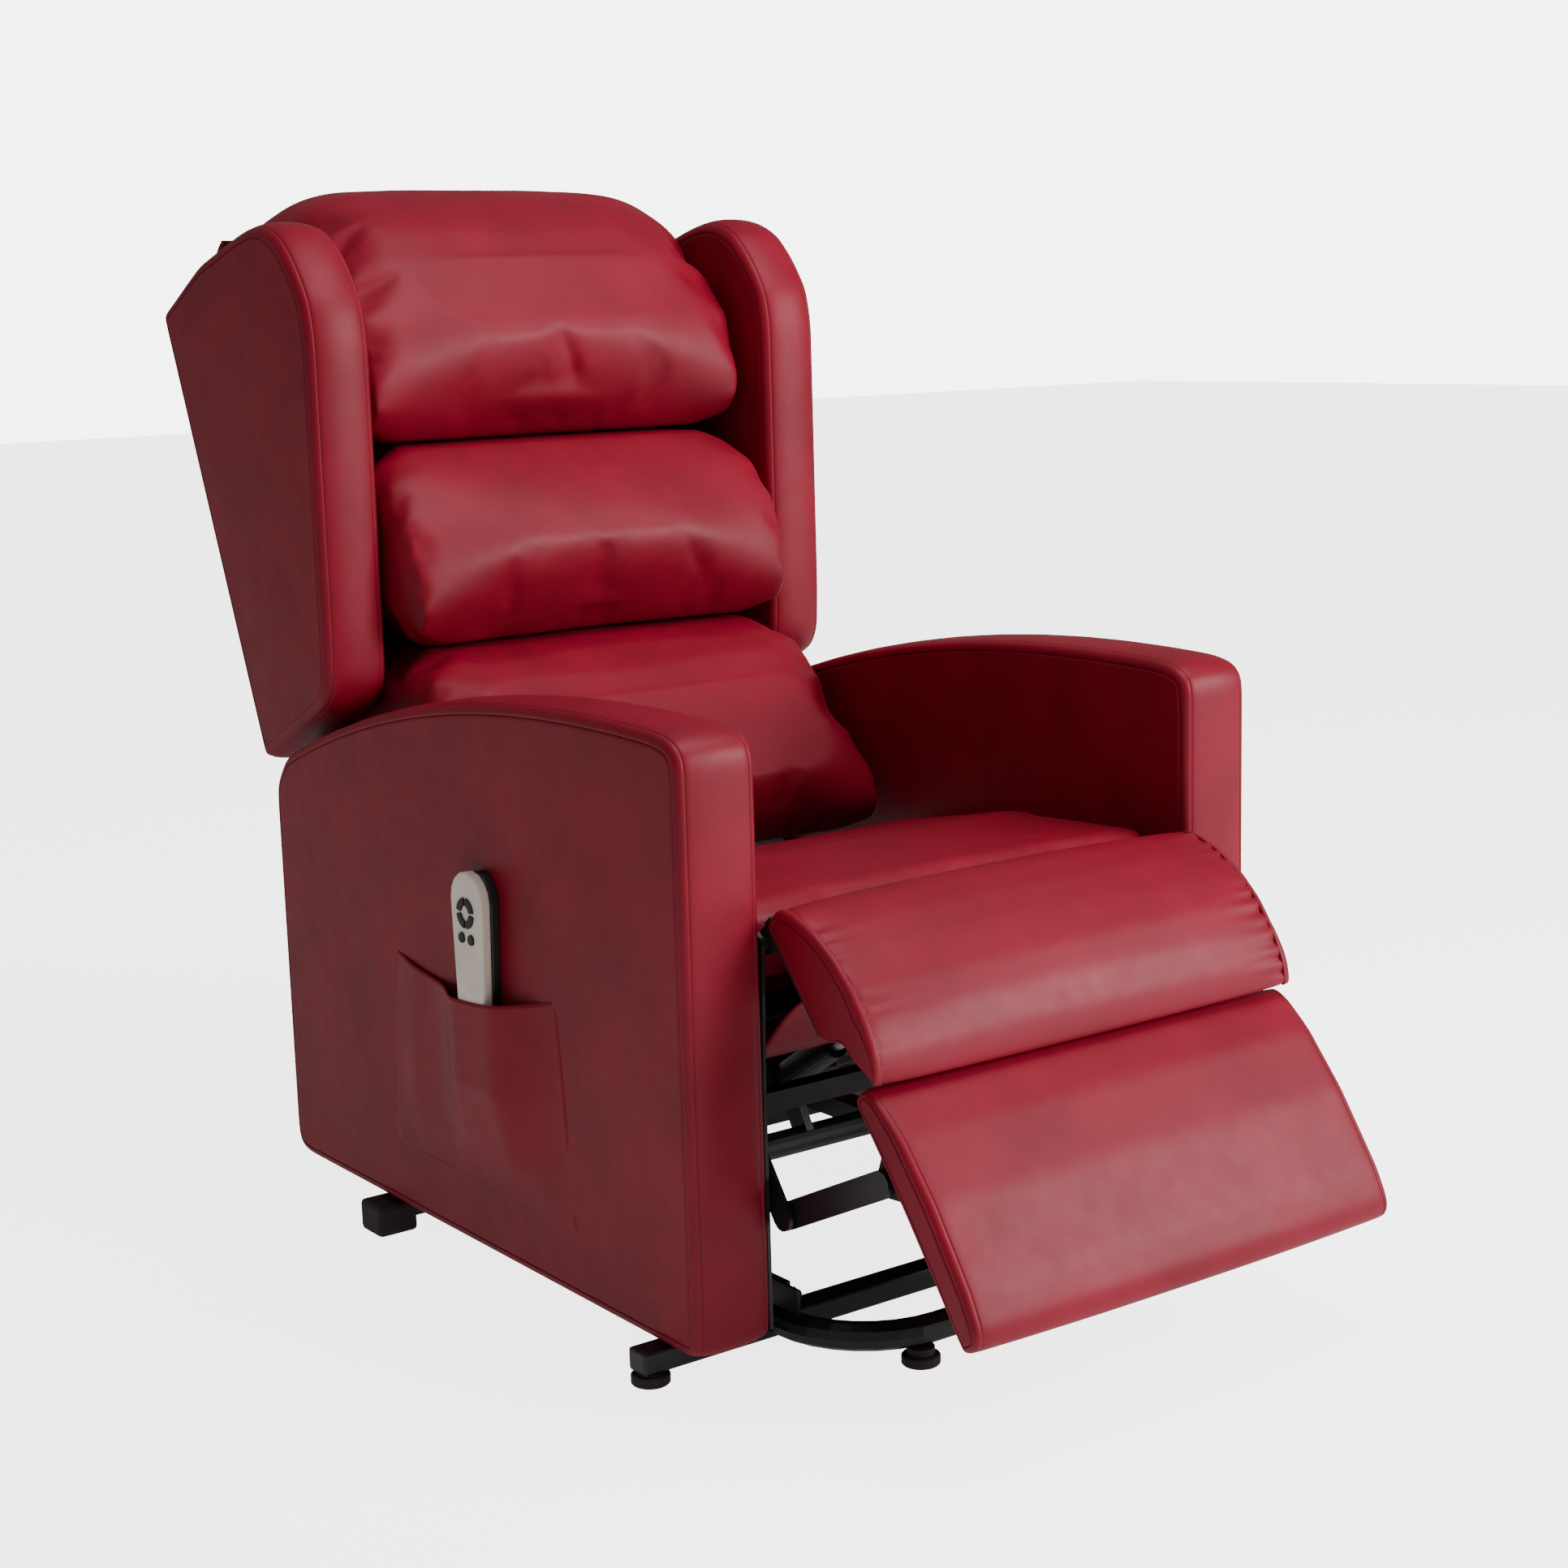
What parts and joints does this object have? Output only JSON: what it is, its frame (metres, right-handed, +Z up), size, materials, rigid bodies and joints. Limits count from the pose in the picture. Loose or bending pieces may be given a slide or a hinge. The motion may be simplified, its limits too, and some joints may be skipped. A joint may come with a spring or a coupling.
{
  "type": "lift recliner chair",
  "caption": "Powered lift recliner armchair with winged back, three back cushions, two-pad leg rest on folding links, lifting base and side-pocket handset.",
  "frame": {"origin": "floor level under the centre of the chair's bounding box, as stored with the leg rest and back part open", "axes": "+Z up, -Y towards the front of the chair, +X to the right of someone looking at its front"},
  "size_m": [0.802, 1.4707, 1.204],
  "materials": {
    "faux_leather": "satin grained polyurethane faux leather",
    "black_steel": "semi-gloss black powder coat",
    "zinc_steel": "plated",
    "plywood": "raw",
    "black_plastic": "moulded",
    "cream_plastic": "satin moulded",
    "rubber": "matt"
  },
  "bodies": {
    "base": {"base_front_rail": "black_steel", "base_rear_rail": "black_steel", "base_front_tube": "black_steel", "base_side_frame_left": "black_steel", "base_side_frame_right": "black_steel", "front_foot_left": "rubber", "front_foot_right": "rubber", "front_tube_foot_left": "rubber", "front_tube_foot_right": "rubber", "rear_foot_left": "rubber", "rear_foot_right": "rubber"},
    "rear_lift_arms": {"rear_lift_arm_left": "black_steel", "rear_lift_arm_right": "black_steel", "lift_torque_tube": "black_steel"},
    "front_lift_arms": {"front_lift_arm_left": "black_steel", "front_lift_arm_right": "black_steel"},
    "lift_motor": {"lift_actuator_housing": "black_plastic"},
    "lift_rod": {"lift_actuator_rod": "zinc_steel"},
    "carriage": {"seat_side_plate_left": "black_steel", "seat_side_plate_right": "black_steel", "seat_front_rail": "black_steel", "seat_rear_rail": "black_steel", "seat_cross_tube": "black_steel", "seat_platform": "plywood", "seat_cushion": "faux_leather", "control_box": "black_plastic", "armrest_left": "faux_leather", "armrest_right": "faux_leather", "handset_pocket": "faux_leather"},
    "back": {"back_shell": "faux_leather", "back_stile_left": "plywood", "back_stile_right": "plywood", "back_top_rail": "plywood", "back_lower_rail": "black_steel", "wing_left": "faux_leather", "wing_right": "faux_leather", "head_cushion": "faux_leather", "middle_cushion": "faux_leather", "lumbar_cushion": "faux_leather"},
    "back_motor": {"back_actuator_housing": "black_plastic"},
    "back_rod": {"back_actuator_rod": "zinc_steel"},
    "swing_links": {"leg_swing_link_left": "black_steel", "leg_swing_link_right": "black_steel"},
    "reach_links": {"leg_reach_link_left": "black_steel", "leg_reach_link_right": "black_steel"},
    "lower_leg_rest": {"leg_board": "black_steel", "leg_pad": "faux_leather"},
    "upper_leg_rest": {"thigh_board": "black_steel", "thigh_pad": "faux_leather"},
    "leg_motor": {"leg_actuator_housing": "black_plastic"},
    "leg_rod": {"leg_actuator_rod": "zinc_steel"},
    "handset": {"handset_back": "black_plastic", "handset_front": "cream_plastic"},
    "button_back_up": {"button_back_up": "black_plastic"},
    "button_back_down": {"button_back_down": "black_plastic"},
    "button_leg_down": {"button_leg_down": "black_plastic"},
    "button_leg_up": {"button_leg_up": "black_plastic"},
    "button_lift_up": {"button_lift_up": "black_plastic"},
    "button_lift_down": {"button_lift_down": "black_plastic"}
  },
  "joints": [
    {"name": "lift", "type": "hinge", "parent": "base", "child": "rear_lift_arms", "pos_m": [0, -0.12, 0.11], "axis": [1, 0, 0], "range_deg": [0, 57]},
    {"name": "seat_on_rear_arms", "type": "hinge", "parent": "rear_lift_arms", "child": "carriage", "pos_m": [0, 0.33, 0.12], "axis": [1, 0, 0], "range_deg": [-34.88, 0.3]},
    {"name": "front_arms", "type": "hinge", "parent": "base", "child": "front_lift_arms", "pos_m": [0, -0.278, 0.11], "axis": [1, 0, 0], "range_deg": [-0.3, 71.55]},
    {"name": "lift_motor_tilt", "type": "hinge", "parent": "base", "child": "lift_motor", "pos_m": [0, 0.185, 0.085], "axis": [1, 0, 0], "range_deg": [-0.3, 4.39]},
    {"name": "lift_rod_slide", "type": "slide", "parent": "lift_motor", "child": "lift_rod", "axis": [0, -0.9475, 0.3199], "range_m": [-0.0005, 0.06835]},
    {"name": "recline", "type": "hinge", "parent": "carriage", "child": "back", "pos_m": [0, 0.25, 0.33], "axis": [-1, 0, 0], "range_deg": [-8, 34]},
    {"name": "back_motor_tilt", "type": "hinge", "parent": "carriage", "child": "back_motor", "pos_m": [0, -0.12, 0.24], "axis": [1, 0, 0], "range_deg": [-0.31, 0.35]},
    {"name": "back_rod_slide", "type": "slide", "parent": "back_motor", "child": "back_rod", "axis": [0, 1, 0.0059], "range_m": [-0.05266, 0.01277]},
    {"name": "leg_swing", "type": "hinge", "parent": "carriage", "child": "swing_links", "pos_m": [0, -0.334, 0.33], "axis": [-1, 0, 0], "range_deg": [-55.5, 66]},
    {"name": "leg_reach", "type": "hinge", "parent": "swing_links", "child": "reach_links", "pos_m": [0, -0.44917, 0.16943], "axis": [-1, 0, 0], "range_deg": [-91.43, 76.93]},
    {"name": "leg_bracket", "type": "hinge", "parent": "reach_links", "child": "lower_leg_rest", "pos_m": [0, -0.5954, 0.23962], "axis": [-1, 0, 0], "range_deg": [-58.41, 69.4]},
    {"name": "thigh_hinge", "type": "hinge", "parent": "carriage", "child": "upper_leg_rest", "pos_m": [0, -0.425, 0.44], "axis": [-1, 0, 0], "range_deg": [-31.77, 37.72]},
    {"name": "leg_motor_tilt", "type": "hinge", "parent": "carriage", "child": "leg_motor", "pos_m": [0, -0.12, 0.165], "axis": [-1, 0, 0], "range_deg": [-1.51, 1.32]},
    {"name": "leg_rod_slide", "type": "slide", "parent": "leg_motor", "child": "leg_rod", "axis": [0, -0.8362, 0.5484], "range_m": [-0.03285, 0.03897]},
    {"name": "handset_lift_out", "type": "slide", "parent": "carriage", "child": "handset", "axis": [0, 0, 1], "range_m": [0, 0.18]},
    {"name": "press_back_up", "type": "slide", "parent": "handset", "child": "button_back_up", "axis": [1, 0, 0], "range_m": [0, 0.001], "stiffness_N_per_m": 400, "springref_m": -0.0002},
    {"name": "press_back_down", "type": "slide", "parent": "handset", "child": "button_back_down", "axis": [1, 0, 0], "range_m": [0, 0.001], "stiffness_N_per_m": 400, "springref_m": -0.0002},
    {"name": "press_leg_down", "type": "slide", "parent": "handset", "child": "button_leg_down", "axis": [1, 0, 0], "range_m": [0, 0.001], "stiffness_N_per_m": 400, "springref_m": -0.0002},
    {"name": "press_leg_up", "type": "slide", "parent": "handset", "child": "button_leg_up", "axis": [1, 0, 0], "range_m": [0, 0.001], "stiffness_N_per_m": 400, "springref_m": -0.0002},
    {"name": "press_lift_up", "type": "slide", "parent": "handset", "child": "button_lift_up", "axis": [1, 0, 0], "range_m": [0, 0.001], "stiffness_N_per_m": 400, "springref_m": -0.0002},
    {"name": "press_lift_down", "type": "slide", "parent": "handset", "child": "button_lift_down", "axis": [1, 0, 0], "range_m": [0, 0.001], "stiffness_N_per_m": 400, "springref_m": -0.0002}
  ],
  "couplings": [
    {"joint": "seat_on_rear_arms", "follows": "lift", "ratio": -0.60664},
    {"joint": "front_arms", "follows": "lift", "ratio": 1.25},
    {"joint": "lift_motor_tilt", "follows": "lift", "ratio": 0.071678},
    {"joint": "lift_rod_slide", "follows": "lift", "m_per_rad": 0.0682},
    {"joint": "back_motor_tilt", "follows": "recline", "ratio": 0.0015},
    {"joint": "back_rod_slide", "follows": "recline", "m_per_rad": -0.0879},
    {"joint": "leg_reach", "follows": "leg_swing", "ratio": -1.3808},
    {"joint": "leg_bracket", "follows": "leg_swing", "ratio": 1.047},
    {"joint": "thigh_hinge", "follows": "leg_swing", "ratio": 0.567},
    {"joint": "leg_motor_tilt", "follows": "leg_swing", "ratio": -0.0184},
    {"joint": "leg_rod_slide", "follows": "leg_swing", "m_per_rad": 0.0334}
  ]
}
